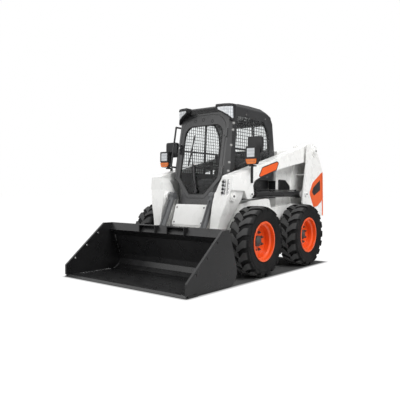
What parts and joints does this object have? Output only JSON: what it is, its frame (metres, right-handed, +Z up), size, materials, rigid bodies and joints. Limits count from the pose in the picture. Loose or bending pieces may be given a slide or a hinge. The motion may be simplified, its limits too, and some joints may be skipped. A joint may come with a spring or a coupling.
{
  "type": "skid steer loader",
  "caption": "Compact wheeled skid steer loader with closed cab, radius lift arms on rear uprights, and a low earth bucket on a quick coupler.",
  "frame": {"origin": "middle of the overall box on the ground", "axes": "+X forward towards the bucket, +Y to the left side, +Z up"},
  "size_m": [3.3, 1.73, 1.966],
  "materials": {
    "white_paint": "gloss",
    "black_paint": "satin",
    "cab_grey": "satin",
    "black_plastic": "matte",
    "tyre_rubber": "matte",
    "rim_orange": "gloss",
    "dark_iron": "matte",
    "pin_steel": "satin",
    "grey_paint": "satin",
    "clear_glass": "gloss",
    "lamp_clear": "gloss",
    "lamp_amber": "gloss",
    "lamp_red": "gloss",
    "seat_cover": "matte"
  },
  "bodies": {
    "chassis": {"main_frame": "white_paint", "tie_down_lugs": "white_paint", "upright_left": "white_paint", "upright_right": "white_paint", "rear_hood": "white_paint", "front_panel": "white_paint", "upright_pins": "white_paint", "axle_housings": "dark_iron", "engine_block": "dark_iron", "side_vents": "black_plastic", "seat_base": "black_plastic", "controls": "black_plastic", "work_lamps": "black_plastic", "grab_handle": "black_plastic", "cab_tub": "cab_grey", "cab_front_frame": "cab_grey", "cab_side_left": "cab_grey", "cab_side_right": "cab_grey", "cab_rear_panel": "cab_grey", "cab_roof": "cab_grey", "side_screens": "cab_grey", "cab_windows": "clear_glass", "seat_cushions": "seat_cover", "work_lamp_lenses": "lamp_clear"},
    "lift_arms": {"lift_arm_left": "white_paint", "lift_arm_right": "white_paint", "cross_tube": "white_paint", "aux_couplers": "pin_steel", "road_lamps": "black_plastic", "road_lamp_lenses": "lamp_clear", "indicators": "lamp_amber", "mirrors": "black_plastic"},
    "bucket": {"quick_coupler": "white_paint", "bucket": "black_paint", "cutting_edge": "black_paint", "bucket_steps": "black_paint"},
    "front_door": {"door_frame": "cab_grey", "door_glass": "clear_glass", "wiper": "black_plastic"},
    "rear_door": {"tailgate": "cab_grey", "tail_lamps": "lamp_red"},
    "lift_barrels": {"lift_barrels": "black_paint"},
    "lift_rods": {"lift_rods": "pin_steel"},
    "tilt_barrels": {"tilt_barrels": "grey_paint"},
    "tilt_rods": {"tilt_rods": "pin_steel"},
    "wheel_fl": {"tyre_fl": "tyre_rubber", "rim_fl": "rim_orange", "axle_fl": "dark_iron"},
    "wheel_fr": {"tyre_fr": "tyre_rubber", "rim_fr": "rim_orange", "axle_fr": "dark_iron"},
    "wheel_rl": {"tyre_rl": "tyre_rubber", "rim_rl": "rim_orange", "axle_rl": "dark_iron"},
    "wheel_rr": {"tyre_rr": "tyre_rubber", "rim_rr": "rim_orange", "axle_rr": "dark_iron"}
  },
  "joints": [
    {"name": "arm_lift", "type": "hinge", "parent": "chassis", "child": "lift_arms", "pos_m": [-1.321, 0, 1.489], "axis": [0, -1, 0], "range_deg": [0, 66.4]},
    {"name": "bucket_tilt", "type": "hinge", "parent": "lift_arms", "child": "bucket", "pos_m": [0.735, 0, 0.165], "axis": [0, 1, 0], "range_deg": [-25, 108]},
    {"name": "lift_barrel_swing", "type": "hinge", "parent": "chassis", "child": "lift_barrels", "pos_m": [-1.08, 0, 0.902], "axis": [0, -1, 0], "range_deg": [0, 63]},
    {"name": "lift_rod_slide", "type": "slide", "parent": "lift_barrels", "child": "lift_rods", "axis": [1, 0, 0], "range_m": [0, 0.6888]},
    {"name": "tilt_barrel_swing", "type": "hinge", "parent": "lift_arms", "child": "tilt_barrels", "pos_m": [0.525, 0, 0.88], "axis": [0, 1, 0], "range_deg": [-1, 2]},
    {"name": "tilt_rod_slide", "type": "slide", "parent": "tilt_barrels", "child": "tilt_rods", "axis": [0.4454, 0, -0.8953], "range_m": [-0.0622, 0.2621]},
    {"name": "front_door_swing", "type": "hinge", "parent": "chassis", "child": "front_door", "pos_m": [0.44772, 0.35, 1.05596], "axis": [-0.1848, 0, 0.9828], "range_deg": [0, 75]},
    {"name": "rear_door_swing", "type": "hinge", "parent": "chassis", "child": "rear_door", "pos_m": [-1.641, -0.434, 0.8], "axis": [0, 0, 1], "range_deg": [0, 100]},
    {"name": "wheel_fl_spin", "type": "hinge", "parent": "chassis", "child": "wheel_fl", "pos_m": [0.278, 0.713, 0.3875], "axis": [0, 1, 0], "continuous": true},
    {"name": "wheel_fr_spin", "type": "hinge", "parent": "chassis", "child": "wheel_fr", "pos_m": [0.278, -0.713, 0.3875], "axis": [0, 1, 0], "continuous": true},
    {"name": "wheel_rl_spin", "type": "hinge", "parent": "chassis", "child": "wheel_rl", "pos_m": [-0.804, 0.713, 0.3875], "axis": [0, 1, 0], "continuous": true},
    {"name": "wheel_rr_spin", "type": "hinge", "parent": "chassis", "child": "wheel_rr", "pos_m": [-0.804, -0.713, 0.3875], "axis": [0, 1, 0], "continuous": true}
  ],
  "couplings": [
    {"joint": "lift_barrel_swing", "follows": "arm_lift", "ratio": 0.9425},
    {"joint": "lift_rod_slide", "follows": "arm_lift", "m_per_rad": 0.5926},
    {"joint": "tilt_barrel_swing", "follows": "bucket_tilt", "ratio": 0.01},
    {"joint": "tilt_rod_slide", "follows": "bucket_tilt", "m_per_rad": 0.138}
  ]
}
